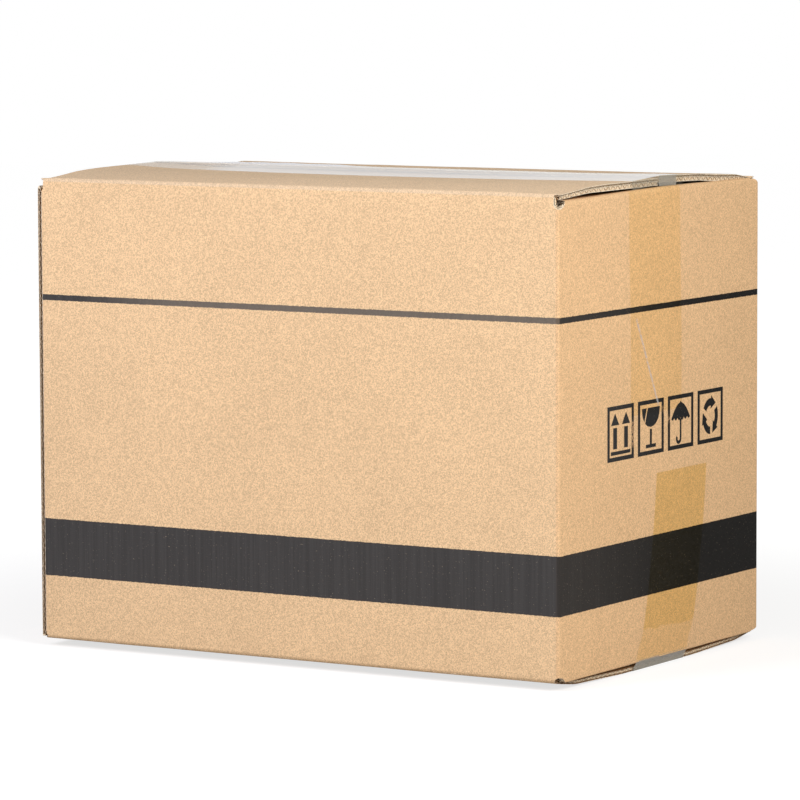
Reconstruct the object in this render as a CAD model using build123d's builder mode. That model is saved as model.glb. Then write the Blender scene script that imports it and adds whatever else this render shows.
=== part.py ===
"""A corrugated shipping carton of the regular slotted kind, in double-wall board, taped shut.

Its four walls are one strip of board, folded round and glued at the front left corner by a tab. Every wall
carries a flap at its top and one at its bottom. The front and back flaps meet over the end flaps, and a strip
of clear tape closes each seam and turns down over both ends.
The origin is on the floor under the middle of the carton. X is along its length, +Y to its back and +Z up.
All sizes are in millimetres.
"""
import os

from build123d import *

# Outside sizes of the folded carton, and the heights of its outer crease corners above the floor
length = 393.0
width = 264.0
side_crease_top = 308.8
side_crease_bottom = 4.0
top_crease_step = 4.4
bottom_crease_step = 3.9
end_crease_top = side_crease_top - top_crease_step
end_crease_bottom = side_crease_bottom + bottom_crease_step

# Papers and flutes of the board, from its outside to its inside
outer_paper = 0.35
fine_flute_height = 1.15
middle_paper = 0.25
coarse_flute_height = 2.3
inner_paper = 0.35
medium_paper = 0.2
board = outer_paper + fine_flute_height + middle_paper + coarse_flute_height + inner_paper
fine_flute_pitch = 3.4
coarse_flute_pitch = 6.1
coarse_crest_share = 0.25
crease_crush = 6.0
crease_roll = 3.0

# How the flaps lie: the top ones spring up past their creases, the bottom ones are pressed flat by the floor
seam_gap = 1.0
side_flap_spring_reach = 41.0
side_flap_spring = 2.6
front_tip_spring = 2.9
back_tip_spring = 4.6
end_flap_dip_reach = 20.0
end_flap_dip = 0.8
bottom_slope_reach = 25.0
bottom_slope_height = 1.8
bottom_flat_reach = 84.0

# Slots between the flaps, and the glued tab that joins the two ends of the strip
side_flap_inset = 2.8
side_slot = 4.0
fit_clearance = 0.4
end_slot = board + board + fit_clearance
top_slot_overrun = 6.0
bottom_slot_overrun = 3.5
raw_edge_setback = 1.0
tab_width = 35.0
tab_shortfall = 12.0
tab_taper = 8.0

# Tape
film = 0.1
tape_width = 67.0
front_tape_reach = 35.0
back_tape_reach = tape_width - front_tape_reach
seam_slit = 0.1
tape_bridge = 6.0
tape_drop = 5.6
top_leg_shift = -7.6
top_leg_share = 0.465
bottom_leg_share = 0.421
bottom_leg_lean = 26.6
bottom_leg_lean_shares = ((0, 0), (0.05, 0), (0.2, 0.33), (0.68, 0.82), (1, 1))

# Worked out from the sizes above
overrun = crease_roll + board
end_wall_height = end_crease_top - end_crease_bottom
top_leg_length = end_wall_height * top_leg_share
bottom_leg_length = end_wall_height * bottom_leg_share
flap_reach = (width - seam_gap) / 2
plies = {
    "outer_liner": (0, outer_paper),
    "fine_flutes": (outer_paper, outer_paper + fine_flute_height),
    "middle_liner": (outer_paper + fine_flute_height, outer_paper + fine_flute_height + middle_paper),
    "coarse_flutes": (board - inner_paper - coarse_flute_height, board - inner_paper),
    "inner_liner": (board - inner_paper, board),
}
core = (outer_paper, board - inner_paper)


def side_strip(tip_spring):
    """Outer line of a side wall and its two flaps, from the bottom flap's edge up to the top flap's edge.

    A point is its distance in from the wall's outer face, and its height."""
    return [
        (flap_reach, film),
        (bottom_flat_reach, film),
        (bottom_slope_reach, bottom_slope_height),
        (0, side_crease_bottom),
        (0, side_crease_top),
        (side_flap_spring_reach, side_crease_top + side_flap_spring),
        (flap_reach, side_crease_top + tip_spring),
    ]


def end_strip():
    """Outer line of an end wall and its two flaps, which tuck in between the side flaps and the contents."""
    return [
        (flap_reach, end_crease_bottom + end_flap_dip),
        (end_flap_dip_reach, end_crease_bottom + end_flap_dip),
        (0, end_crease_bottom),
        (0, end_crease_top),
        (end_flap_dip_reach, end_crease_top - end_flap_dip),
        (flap_reach, end_crease_top - end_flap_dip),
    ]


class Panel:
    """A wall with its two flaps: the plane of its section, its folded line, and how long its flaps are."""

    def __init__(self, origin, inward, strip, flap_half):
        self.plane = Plane(origin=origin, x_dir=inward, z_dir=Vector(*inward).cross(Vector(0, 0, 1)))
        self.strip = strip
        self.flap_half = flap_half
        self.bottom_crease = len(strip) - 4
        self.top_crease = len(strip) - 3


side_flap_half = length / 2 - side_flap_inset
end_flap_half = width / 2 - end_slot
panels = {
    "front": Panel((0, -width / 2, 0), (0, 1, 0), side_strip(front_tip_spring), side_flap_half),
    "back": Panel((0, width / 2, 0), (0, -1, 0), side_strip(back_tip_spring), side_flap_half),
    "right": Panel((length / 2, 0, 0), (-1, 0, 0), end_strip(), end_flap_half),
    "left": Panel((-length / 2, 0, 0), (1, 0, 0), end_strip(), end_flap_half),
}


def finish(piece, name):
    """Names a finished piece and writes it to its own file."""
    piece.part.label = name
    export_step(piece.part, f"parts/{name}.step")


def inset(line, depth):
    """Moves a line of straight runs to its right by a depth, with mitred corners and square ends."""
    points = [Vector(*point) for point in line]
    runs = [(after - before).normalized() for before, after in zip(points, points[1:])]
    sides = [Vector(run.Y, -run.X) for run in runs]
    moved = [points[0] + sides[0] * depth]
    for point, before, after in zip(points[1:], sides, sides[1:]):
        moved.append(point + (before + after) * (depth / (1 + before.dot(after))))
    moved.append(points[-1] + sides[-1] * depth)
    return moved


def place_on(line, distance):
    """Where a distance along a line of straight runs falls: the number of the run, and the share of it."""
    for number, (before, after) in enumerate(zip(line, line[1:])):
        run = (Vector(*after) - Vector(*before)).length
        if distance <= run or number == len(line) - 2:
            return number, distance / run
        distance -= run


def point_on(moved, place):
    """The point of an inset line at a place of the line that it was moved from."""
    number, share = place
    return moved[number] + (moved[number + 1] - moved[number]) * share


def line_length(line):
    """Length of a line of straight runs."""
    return sum((Vector(*after) - Vector(*before)).length for before, after in zip(line, line[1:]))


def crease_plane(panel, corner, flap_side):
    """The plane that halves the angle of a crease, facing its flap. flap_side is 1 at the top, -1 below."""
    outer = Vector(*panel.strip[corner])
    inner = inset(panel.strip, board)[corner]
    mitre = inner - outer
    facing = Vector(-mitre.Y, mitre.X) * flap_side
    return Plane(
        origin=panel.plane.from_local_coords(outer),
        x_dir=panel.plane.z_dir,
        z_dir=panel.plane.from_local_coords(facing) - panel.plane.from_local_coords(Vector(0, 0)),
    )


def folded_ply(panel, near, far):
    """One ply of a wall and its flaps in section, between two depths in the board, rolled at its creases."""
    outside = inset(panel.strip, near)
    inside = inset(panel.strip, far)
    with BuildSketch(panel.plane) as section:
        with BuildLine():
            Polyline(*outside, *reversed(inside), close=True)
        make_face()
        for depth, edge in ((near, outside), (far, inside)):
            if depth < crease_roll:
                for corner in (edge[panel.bottom_crease], edge[panel.top_crease]):
                    fillet(section.vertices().sort_by_distance(corner)[0], crease_roll - depth)
    return section.sketch


def flap_ply(panel, near, far, flap_side):
    """One ply of a flap, cut from the folded strip at its crease."""
    corner = panel.top_crease if flap_side > 0 else panel.bottom_crease
    with BuildPart() as ply:
        extrude(folded_ply(panel, near, far), amount=panel.flap_half, both=True)
        split(bisect_by=crease_plane(panel, corner, flap_side), keep=Keep.TOP)
    return ply


def wave(panel, near, far, pitch, crest_share, flap_side):
    """A fluted medium in section: a wave that touches both depths, from the crushed crease to the edge."""
    runs = slice(panel.top_crease, None) if flap_side > 0 else slice(0, panel.bottom_crease + 1)
    line = panel.strip[runs]
    crest_line, crest_back, trough_back, trough_line = (
        inset(panel.strip, depth)[runs] for depth in (near, near + medium_paper, far - medium_paper, far)
    )
    reach = line_length(line) - crease_crush
    first = crease_crush if flap_side > 0 else 0
    bends = [line_length(line[:number + 1]) for number in range(1, len(line) - 1)]
    count = max(1, round(reach / pitch))
    step = reach / count
    crest = step * crest_share
    outer_edge, inner_edge = [], []
    for turn in range(count + count + 1):
        middle = first + turn * step / 2
        start, end = max(first, middle - crest / 2), min(first + reach, middle + crest / 2)
        outer, inner = (crest_line, crest_back) if turn % 2 else (trough_back, trough_line)
        for distance in sorted({start, end, *(bend for bend in bends if start < bend < end)}):
            place = place_on(line, distance)
            outer_edge.append(point_on(outer, place))
            inner_edge.append(point_on(inner, place))
    return outer_edge + inner_edge[::-1]


def flap_flutes(panel, flap_side):
    """Both fluted media of a flap, the fine one outside and the coarse one inside, along its crease."""
    with BuildPart() as flutes:
        for ply, pitch, crest_share in (
            ("fine_flutes", fine_flute_pitch, 0),
            ("coarse_flutes", coarse_flute_pitch, coarse_crest_share),
        ):
            with BuildSketch(panel.plane):
                with BuildLine():
                    Polyline(*wave(panel, *plies[ply], pitch, crest_share, flap_side), close=True)
                make_face()
            extrude(amount=panel.flap_half, both=True)
    return flutes


def rounded_block(low, high, depth):
    """A closed block between two corners, drawn in by a depth, with all its edges rolled."""
    size = [top - bottom - depth - depth for bottom, top in zip(low, high)]
    middle = [(top + bottom) / 2 for bottom, top in zip(low, high)]
    with BuildPart(Plane(origin=middle)) as block:
        Box(*size)
        if depth < crease_roll:
            fillet(block.edges(), crease_roll - depth)
    return block.part


def upright_plane(x, y, facing):
    """An upright plane through a corner of the plan."""
    return Plane(origin=(x, y, 0), x_dir=(0, 0, 1), z_dir=(*facing, 0))


def corner_slot(x, y, edge, way):
    """The gap that the slots on both sides of a corner leave, with a round end. way is 1 at the top."""
    with BuildPart() as slot:
        for reach, turn, depth in ((side_slot, (90, 0, 0), board), (end_slot, (0, 90, 0), board)):
            with Locations(Location((x, y, edge + way * reach), turn)):
                Cylinder(reach, depth + depth)
        with Locations((x, y, edge + way * (side_slot + overrun))):
            Box(side_slot + side_slot, board + board, overrun + overrun)
    return slot.part


def corner_slots(x, y):
    """The gaps at the top and at the bottom of an upright corner."""
    return [
        corner_slot(x, y, end_crease_top - top_slot_overrun, 1),
        corner_slot(x, y, end_crease_bottom + bottom_slot_overrun, -1),
    ]


def wall_ply(name, near, far):
    """One ply of a wall: the skin of a rolled block, cut at its creases and at its ends, less its slots."""
    panel = panels[name]
    low, high, ends, slots = walls[name]
    with BuildPart() as ply:
        add(rounded_block(low, high, near))
        add(rounded_block(low, high, far), mode=Mode.SUBTRACT)
        for end in ends:
            split(bisect_by=end, keep=Keep.BOTTOM)
        split(bisect_by=crease_plane(panel, panel.top_crease, 1), keep=Keep.BOTTOM)
        split(bisect_by=crease_plane(panel, panel.bottom_crease, -1), keep=Keep.BOTTOM)
        for slot in slots:
            add(slot, mode=Mode.SUBTRACT)
    return ply


def height_at(line, reach):
    """Height of the last run of a line, at a distance in from the wall."""
    (near, low), (far, high) = line[-2:]
    return low + (high - low) * (reach - near) / (far - near)


def tape_half(panel, reach):
    """Half of the top tape, slit along the seam: it lies on its flap and turns down over both its ends."""
    edge = width / 2 - reach
    bridge = width / 2 - tape_bridge
    seam_height = side_crease_top + max(front_tip_spring, back_tip_spring)
    top = [
        (edge, height_at(panel.strip, edge)),
        (bridge, height_at(panel.strip, bridge)),
        (flap_reach, seam_height),
        (width / 2 - seam_slit / 2, seam_height),
    ]
    above = [(place, height + film) for place, height in top]
    below = [(place, height - tape_drop) for place, height in top]
    with BuildPart() as half:
        with BuildSketch(panel.plane):
            with BuildLine():
                Polyline(*top, *reversed(above), close=True)
            make_face()
        extrude(amount=side_flap_half + film, both=True)
        with BuildSketch(panel.plane.offset(side_flap_half)):
            with BuildLine():
                Polyline(*below, *reversed(above), close=True)
            make_face()
        extrude(amount=film)
        mirror(about=Plane.YZ)
    return half


# The slots at the upright corners. The one by the glue tab cuts the front wall alone.
half_length, half_width = length / 2, width / 2
tab_corner = board - half_length
near_slots = corner_slots(half_length, -half_width)
far_slots = corner_slots(half_length, half_width)
back_slots = corner_slots(-half_length, half_width)
tab_slots = corner_slots(tab_corner - side_slot / 2, -half_width)

# The walls, each from its own rolled block: two corners of the block, the planes that end the wall, its slots
walls = {
    "front": (
        (tab_corner, -half_width, side_crease_bottom),
        (half_length, half_width, side_crease_top),
        (upright_plane(half_length, -half_width, (1, 1)), upright_plane(tab_corner, -half_width, (-1, 1))),
        near_slots + tab_slots,
    ),
    "back": (
        (-half_length, -half_width, side_crease_bottom),
        (half_length, half_width, side_crease_top),
        (upright_plane(half_length, half_width, (1, -1)), upright_plane(-half_length, half_width, (-1, -1))),
        far_slots + back_slots,
    ),
    "right": (
        (-half_length, -half_width, end_crease_bottom),
        (half_length, half_width, end_crease_top),
        (upright_plane(half_length, -half_width, (-1, -1)), upright_plane(half_length, half_width, (-1, 1))),
        near_slots + far_slots,
    ),
    "left": (
        (-half_length, -half_width - overrun, end_crease_bottom),
        (half_length, half_width, end_crease_top),
        (
            upright_plane(-half_length, half_width, (1, 1)),
            upright_plane(-half_length, raw_edge_setback - half_width, (0, -1)),
        ),
        back_slots,
    ),
}

os.makedirs("parts", exist_ok=True)

# Board: each wall as its two liners and the core between them, each flap as its three liners and its flutes
for side, panel in panels.items():
    finish(wall_ply(side, *plies["outer_liner"]), f"{side}_wall_outer_liner")
    finish(wall_ply(side, *core), f"{side}_wall_core")
    finish(wall_ply(side, *plies["inner_liner"]), f"{side}_wall_inner_liner")
    for level, flap_side in (("top", 1), ("bottom", -1)):
        for ply in ("outer_liner", "middle_liner", "inner_liner"):
            finish(flap_ply(panel, *plies[ply], flap_side), f"{side}_{level}_flap_{ply}")
        finish(flap_flutes(panel, flap_side), f"{side}_{level}_flap_flutes")

# Glue tab: the front wall's end, folded in behind the left wall, shorter than the wall and tapered
front_low, front_high, front_ends = walls["front"][:3]
tab_bottom, tab_top = side_crease_bottom + tab_shortfall, side_crease_top - tab_shortfall
with BuildPart() as glue_tab:
    add(rounded_block(front_low, front_high, 0))
    add(rounded_block(front_low, front_high, board), mode=Mode.SUBTRACT)
    split(bisect_by=front_ends[1], keep=Keep.TOP)
    with BuildSketch(Plane.YZ.offset(-half_length)):
        with BuildLine():
            Polyline(
                (-half_width, tab_bottom),
                (tab_width - half_width, tab_bottom + tab_taper),
                (tab_width - half_width, tab_top - tab_taper),
                (-half_width, tab_top),
                close=True,
            )
        make_face()
    extrude(amount=half_length, mode=Mode.INTERSECT)
finish(glue_tab, "glue_tab")

# Top tape: one strip, slit along the seam of the flaps and over both end walls, so that the flaps can open
finish(tape_half(panels["front"], front_tape_reach), "top_tape_front_half")
finish(tape_half(panels["back"], back_tape_reach), "top_tape_back_half")
leg_top = end_crease_top - crease_roll
for side, face in (("right", Plane.YZ.offset(half_length)), ("left", Plane.YZ.offset(-half_length - film))):
    with BuildPart() as tape_leg:
        with BuildSketch(face):
            with Locations((top_leg_shift, leg_top - top_leg_length / 2)):
                Rectangle(tape_width, top_leg_length)
        extrude(amount=film)
    finish(tape_leg, f"{side}_tape_leg")

# Bottom tape: one uncut strip under the seam, with a leg up each end wall, the right one leaning to the back
lean = [(bottom_leg_lean * shift, bottom_leg_length * rise) for rise, shift in bottom_leg_lean_shares]
with BuildPart() as bottom_tape:
    with BuildSketch(Plane.XY):
        Rectangle(length + film + film, tape_width)
    extrude(amount=film)
    with BuildSketch(Plane.YZ.offset(half_length)):
        with BuildLine():
            Polyline(
                *[(shift - tape_width / 2, rise) for shift, rise in lean],
                *[(shift + tape_width / 2, rise) for shift, rise in reversed(lean)],
                close=True,
            )
        make_face()
    extrude(amount=film)
    with BuildSketch(Plane.YZ.offset(-half_length - film)):
        with Locations((0, bottom_leg_length / 2)):
            Rectangle(tape_width, bottom_leg_length)
    extrude(amount=film)
finish(bottom_tape, "bottom_tape")
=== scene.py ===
# %% [markdown]
# # A taped shipping carton, dressed over its CAD model
# The imported CAD model gives the frame: nodes, bodies and hinges, in metres, with the floor at height 0.
# It loads first. The dressed carton may not grow past it.

# %% Load the frame
import math
from collections import namedtuple

import bpy
import numpy as np
from mathutils import Matrix, Vector


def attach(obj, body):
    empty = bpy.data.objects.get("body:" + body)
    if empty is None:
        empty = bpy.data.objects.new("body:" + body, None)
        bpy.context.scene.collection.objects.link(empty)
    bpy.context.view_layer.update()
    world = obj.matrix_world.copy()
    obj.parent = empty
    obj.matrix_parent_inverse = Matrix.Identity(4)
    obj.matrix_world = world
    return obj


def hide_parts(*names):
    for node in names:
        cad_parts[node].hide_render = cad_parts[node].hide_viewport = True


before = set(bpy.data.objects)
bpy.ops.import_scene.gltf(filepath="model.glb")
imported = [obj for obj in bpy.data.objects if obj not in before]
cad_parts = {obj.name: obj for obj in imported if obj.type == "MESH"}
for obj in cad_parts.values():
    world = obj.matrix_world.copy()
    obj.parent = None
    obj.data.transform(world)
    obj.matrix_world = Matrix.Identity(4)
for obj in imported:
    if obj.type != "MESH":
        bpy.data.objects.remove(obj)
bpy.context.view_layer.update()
mm = 0.001

# %% [markdown]
# ## Sizes
# The sizes are in millimetres, and most are those of the CAD source. The bottom creases stand a little
# higher than there, as they do on the used carton. The board is double-wall: a fine wave of paper on the
# outside and a coarse one on the inside, between three flat liners.

# %% Sizes of the carton, its board and its tape
length, width = 393.0, 264.0
side_top, side_bottom = 308.8, 5.4
end_top, end_bottom = 304.4, 8.6
outer_paper, fine_height, middle_paper, coarse_height, inner_paper = 0.35, 1.15, 0.25, 2.3, 0.35
medium_paper = 0.2
board = outer_paper + fine_height + middle_paper + coarse_height + inner_paper
fine_pitch, coarse_pitch = 3.4, 6.1
roll, corner_roll, sharp_roll = 3.0, 1.4, 1.0
raw_edge, raw_edge_trim = 3.1, 1.0
seam_gap, flap_inset = 1.0, 2.8
reach = (width - seam_gap) / 2
slot_top, slot_bottom = 299.0, 9.2
side_slot, end_slot = 4.0, 9.2
side_flap_half, end_flap_half = length / 2 - flap_inset, width / 2 - end_slot
tape_width, front_reach = 67.0, 35.0
back_reach = tape_width - front_reach
film, gap = 0.06, 0.02
print("board", round(board, 2), "mm thick, flaps reach in", reach, "mm")

# %% [markdown]
# ## The folded line of a strip
# A carton is flat board that is scored and folded. Seen from its end, each wall with its two flaps is one
# line: straight runs, joined by a small roll at each crease. It could be drawn as a bevelled polygon, but
# a line that knows its own length and its inward direction can carry every paper of the board, because
# each paper is the same line, moved in by its depth. So the line is worked out once for each wall.

# %% Folded lines
Fold = namedtuple("Fold", "along inward height turn depth_limit mitres")


def fold_line(points, rolls):
    """Straight runs joined by arcs: an arc of radius r round a turn of t starts r tan(t/2) before the corner.

    Gives, at even steps along the line, the distance in from the wall, the height, the direction of travel,
    how thick the board may be there, and the places of the two creases, each in the middle of its arc.
    A crease is crushed down to its own radius, and the board swells again over the next millimetres."""
    flat_step, arc_steps, swelling = 0.5, 24, 0.7
    points = np.array(points, float)
    runs = np.diff(points, axis=0)
    lengths = np.hypot(*runs.T)
    headings = np.unwrap(np.arctan2(runs[:, 1], runs[:, 0]))
    turns = np.diff(headings)
    trims = np.concatenate([[0], np.abs(np.tan(turns / 2)) * rolls, [0]])
    arcs = np.abs(turns) * rolls
    along, heading, mitres = [0.0], [headings[0]], []
    for number, run in enumerate(lengths - trims[:-1] - trims[1:]):
        steps = max(2, int(run / flat_step))
        along.extend(along[-1] + run * np.arange(1, steps + 1) / steps)
        heading.extend([headings[number]] * steps)
        if number < len(turns):
            mitres.append(along[-1] + arcs[number] / 2)
            share = np.arange(1, arc_steps + 1) / arc_steps
            along.extend(along[-1] + arcs[number] * share)
            heading.extend(headings[number] + turns[number] * share)
    along, heading = np.array(along), np.array(heading)
    middle = (heading[1:] + heading[:-1]) / 2
    # The chord of an arc is a little shorter than the arc
    chord = np.diff(along) * np.sinc(np.diff(heading) / 2 / math.pi)
    inward = points[0, 0] + np.concatenate([[0], np.cumsum(np.cos(middle) * chord)])
    height = points[0, 1] + np.concatenate([[0], np.cumsum(np.sin(middle) * chord)])
    # Only the turns of more than a radian are creases, the others are gentle bends
    creases = [mitres[number] for number, turn in enumerate(turns) if abs(turn) > 1]
    away = np.min([np.abs(along - crease) for crease in creases], axis=0)
    limit = roll + swelling * np.maximum(away - roll * math.pi / 4, 0)
    return Fold(along, inward, height, heading, limit, creases)


def side_line(tip):
    """A side wall with its flaps, from the bottom flap's edge to the top flap's, which springs up by tip."""
    return [(reach, 0.1), (84, 0.1), (25, 1.8), (0, side_bottom), (0, side_top),
            (41, side_top + 2.6), (reach, side_top + tip)]


end_line = [(reach, end_bottom), (20, end_bottom), (0, 5.0), (0, end_top),
            (20, end_top - 0.8), (reach, end_top - 0.8)]
folds = {
    "front": fold_line(side_line(2.9), [90, 90, roll, roll, 120]),
    "back": fold_line(side_line(4.6), [90, 90, roll, roll, 120]),
    "right": fold_line(end_line, [40, sharp_roll, roll, 60]),
    "left": fold_line(end_line, [40, sharp_roll, roll, 60]),
}
for name, fold in folds.items():
    print(name, "strip", round(fold.along[-1], 1), "mm, creases at", [round(m, 1) for m in fold.mitres])

# %% [markdown]
# ## Where the strips stand
# Each strip stands on one side of the carton. A place on it is how far it is along the wall, how far in
# and how high. At an upright corner the wall rolls round by 45 degrees and meets its neighbour. The front
# wall rolls on by a full quarter turn into the glue tab.

# %% Placing a strip on its side of the carton
Side = namedtuple("Side", "origin ahead inward low high low_roll high_roll")
tab_corner = raw_edge - length / 2
sides = {
    "front": Side((0, -width / 2), (1, 0), (0, 1), tab_corner, length / 2, True, True),
    "right": Side((length / 2, 0), (0, 1), (-1, 0), -width / 2, width / 2, True, True),
    "back": Side((0, width / 2), (-1, 0), (0, -1), -length / 2, length / 2, True, True),
    "left": Side((-length / 2, 0), (0, -1), (1, 0), -width / 2, width / 2 - raw_edge_trim, True, False),
}


def noise(*coordinates, seed, size, octaves=3):
    """Smooth random relief between about -1 and 1: sums of sines of random directions, finer and weaker."""
    random = np.random.default_rng(seed)
    total = 0
    for octave in range(octaves):
        for wave in range(5):
            directions = random.normal(size=len(coordinates)) / np.sqrt(len(coordinates))
            phase = sum(c * d for c, d in zip(coordinates, directions)) * 2 ** octave * 6.28 / size
            total = total + np.sin(phase + random.uniform(0, 6.28)) / 2 ** octave
    return total / 4


def smooth(value, low, high):
    """0 below low, 1 above high, and a smooth S between them."""
    share = np.clip((value - low) / (high - low), 0, 1)
    return share * share * (3 - 2 * share)


def sink(side, u, q, inward):
    """How much lower the whole board lies at a place than in the folded line, near the top creases and flaps.

    The front flap hangs between its ends and its left end springs up. The back flap slopes down to its
    crease, less so at its right end, where the flap below holds it up, and is dented behind the loose tape.
    The end walls' top edges bow up in the middle, where the flaps above them leave room."""
    top = folds[side].mitres[1]
    if side == "front":
        hang = 1.6 * (1 - (u / 197) ** 2) - 0.9 * smooth(-u, 150, 190)
        return np.where(q > top, hang * smooth(inward, 4, 100), 0)
    if side == "back":
        slope = 2.4 * smooth(inward, 12, 41) * (1 - np.clip((inward - 41) / 91, 0, 1))
        slope = slope + 0.35 * smooth(inward, 20, 60)
        held = 0.1 + 1.5 * smooth(inward, 12, 41) * (1 - smooth(inward, 41, 85))
        slope = slope + (held - slope) * smooth(-u, 120, 188)
        dent = 1.9 * np.exp(-((u - 95) / 66) ** 4) * smooth(inward, 15, 50)
        slope = slope + dent * (1 - smooth(inward, 84, 104))
        crease = 1.5 * np.exp(-((q - top) / 7) ** 2)
        return np.where(q > top, slope, 0) + crease
    y = u if side == "right" else -u
    bow = 2.3 * smooth(y, -125, 10) - 0.4 * smooth(y, 20, 110)
    return -bow * np.exp(-((q - top) / 14) ** 2)


def crush(side, u, inward):
    """How much of a top flap's thickness has been pressed out of it, on its outer side."""
    if side == "front":
        at_end = smooth(np.abs(u), side_flap_half - 22, side_flap_half - 2)
        return 1.4 * at_end * (1 - smooth(inward, 10, 70)) * smooth(inward, 0.8, 5)
    if side == "back":
        at_end = smooth(u, side_flap_half - 22, side_flap_half - 2)
        pressed = 2.6 * smooth(inward, 0.9, 6) * (1 - smooth(inward, 8, 34))
        return np.maximum(pressed, 0.9 * at_end * smooth(inward, 2, 20) * (1 - smooth(inward, 90, 125)))
    return 0 * inward


def squeeze(side, u, q, depth, flap):
    """Depths where the board is thinner: the bottom flaps' ends, and the left wall's raw edge."""
    fold = folds[side]
    if side in ("front", "back"):
        thin = 0.40 * smooth(np.abs(u), side_flap_half - 16, side_flap_half - 2)
        return depth * (1 - np.where(q < fold.mitres[0], thin, 0))
    if side == "left" and not flap:
        return depth * (1 - 0.3 * smooth(u, sides["left"].high - 12, sides["left"].high - 1))
    return depth


def crease_relief(side, u, q):
    """Unevenness of the crushed board within a few millimetres of a crease, in millimetres of depth."""
    fold = folds[side]
    near = sum(np.exp(-((q - mitre) / 5.0) ** 2) for mitre in fold.mitres)
    number = list(folds).index(side)
    return near * np.maximum(0.12 + 0.16 * noise(u, seed=number, size=34, octaves=3), 0)


def lay(side, u, q, depth, flap=False):
    """A point of the board: along the strip's fold line by q, in by depth, and along the wall by u.

    In the section: the line's point at q, moved along its inward normal. In plan: an arc at each upright
    corner, the centre plus (radius - inward) in the direction of the turn."""
    u, q, depth = np.broadcast_arrays(u, q, depth)
    fold, place = folds[side], sides[side]
    heading = np.interp(q, fold.along, fold.turn)
    limit = np.interp(q, fold.along, fold.depth_limit)
    thick = np.minimum(limit, board)
    depth = squeeze(side, u, q, depth, flap) / board
    depth = depth * thick + crease_relief(side, u, q) * (1 - depth)
    inward = np.interp(q, fold.along, fold.inward) + np.sin(heading) * depth
    height = np.interp(q, fold.along, fold.height) - np.cos(heading) * depth
    pressed = np.minimum(crush(side, u, inward), 0.65 * thick) * (1 - depth / thick)
    height = height - np.where(q > fold.mitres[1], pressed, 0) - sink(side, u, q, inward)
    along = u.astype(float)
    for end, rolled, sign in ((place.low, place.low_roll, -1), (place.high, place.high_roll, 1)):
        if flap or not rolled:
            continue
        start = end * sign - corner_roll
        past = np.maximum(u * sign - start, 0)
        angle = np.minimum(past / corner_roll, math.pi / 2)
        arm = np.maximum(corner_roll - inward, 0)
        turned = past > 0
        extra = np.maximum(past - corner_roll * math.pi / 2, 0)
        along = np.where(turned, sign * (start + arm * np.sin(angle)), along)
        new_inward = np.where(inward > corner_roll, inward, corner_roll - arm * np.cos(angle)) + extra
        on_tab = extra > 0
        mitred = sign * np.minimum(along * sign, end * sign - inward)
        along = np.where((inward > corner_roll) & ~on_tab, mitred, along)
        along = along - sign * (board - raw_edge) * smooth(extra, 1, 9)
        inward = np.where(turned, new_inward, inward)
    ahead, inner = np.array(place.ahead), np.array(place.inward)
    plan = np.array(place.origin) + along[..., None] * ahead + inward[..., None] * inner
    return np.concatenate([plan, height[..., None]], axis=-1)


crease = folds["front"].mitres[1]
print("front corner", lay("front", length / 2 - corner_roll, crease, 0.0).round(2))

# %% [markdown]
# ## From points to a piece
# Every paper is a thin closed sheet: its outer face is one grid of points, its inner face another, and
# four narrow strips close the rim. The rim gets a second material slot, because a cut edge shows paler
# fibres than the face does. The grid is worked out as whole arrays.

# %% Building a sheet
def grid_quads(rows, columns, first=0):
    """Quads of a grid whose points are numbered row by row."""
    corner = first + np.arange(rows - 1)[:, None] * columns + np.arange(columns - 1)[None, :]
    return np.stack([corner, corner + 1, corner + columns + 1, corner + columns], -1).reshape(-1, 4)


def sheet_arrays(outer, inner, flip=False):
    """Points, quads and rim flags of the closed sheet between two grids of the same shape."""
    rows, columns = outer.shape[:2]
    count = rows * columns
    points = np.concatenate([outer.reshape(-1, 3), inner.reshape(-1, 3)])
    number = np.arange(count).reshape(rows, columns)
    rim = np.concatenate([number[0, :], number[1:, -1], number[-1, -2::-1], number[-2:0:-1, 0]])
    after = np.roll(rim, -1)
    front = grid_quads(rows, columns)
    back = grid_quads(rows, columns, count)[:, ::-1]
    edge = np.stack([rim, rim + count, after + count, after], -1)
    quads = np.concatenate([front, back, edge])
    if flip:
        quads = quads[:, ::-1]
    return points, quads, np.arange(len(quads)) >= len(front) + len(back)


def piece_from(name, parts, materials):
    """A mesh object in metres from several (points, quads, rim) parts, welded, with its faces as they are
    given.

    Points that agree to a tenth of a micrometre become one, and a quad that loses a corner is a triangle."""
    weld_steps = 1e7
    points, quads, rims, first = [], [], [], 0
    for part_points, part_quads, rim in parts:
        points.append(part_points)
        quads.append(part_quads + first)
        rims.append(rim)
        first += len(part_points)
    points, quads, rims = np.concatenate(points) * mm, np.concatenate(quads), np.concatenate(rims)
    keys = np.round(points * weld_steps).astype(np.int64)
    kept, index = np.unique(keys, axis=0, return_inverse=True)
    merged = np.zeros((len(kept), 3))
    merged[index.ravel()] = points
    quads = index.ravel()[quads]
    same = (quads == np.roll(quads, -1, axis=1))
    whole = ~same.any(axis=1)
    faces, slots = quads[whole].tolist(), rims[whole].tolist()
    for quad, gone, rim in zip(quads[~whole].tolist(), same[~whole].tolist(), rims[~whole].tolist()):
        corners = [corner for corner, drop in zip(quad, gone) if not drop]
        if len(set(corners)) == 3:
            faces.append(corners)
            slots.append(rim)
    mesh = bpy.data.meshes.new(name)
    mesh.from_pydata(merged, [], faces)
    mesh.polygons.foreach_set("material_index", np.array(slots, np.int32))
    mesh.polygons.foreach_set("use_smooth", np.array([not rim for rim in slots]))
    for material in materials:
        mesh.materials.append(material)
    mesh.validate()
    piece = bpy.data.objects.new(name, mesh)
    bpy.context.scene.collection.objects.link(piece)
    return piece


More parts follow.
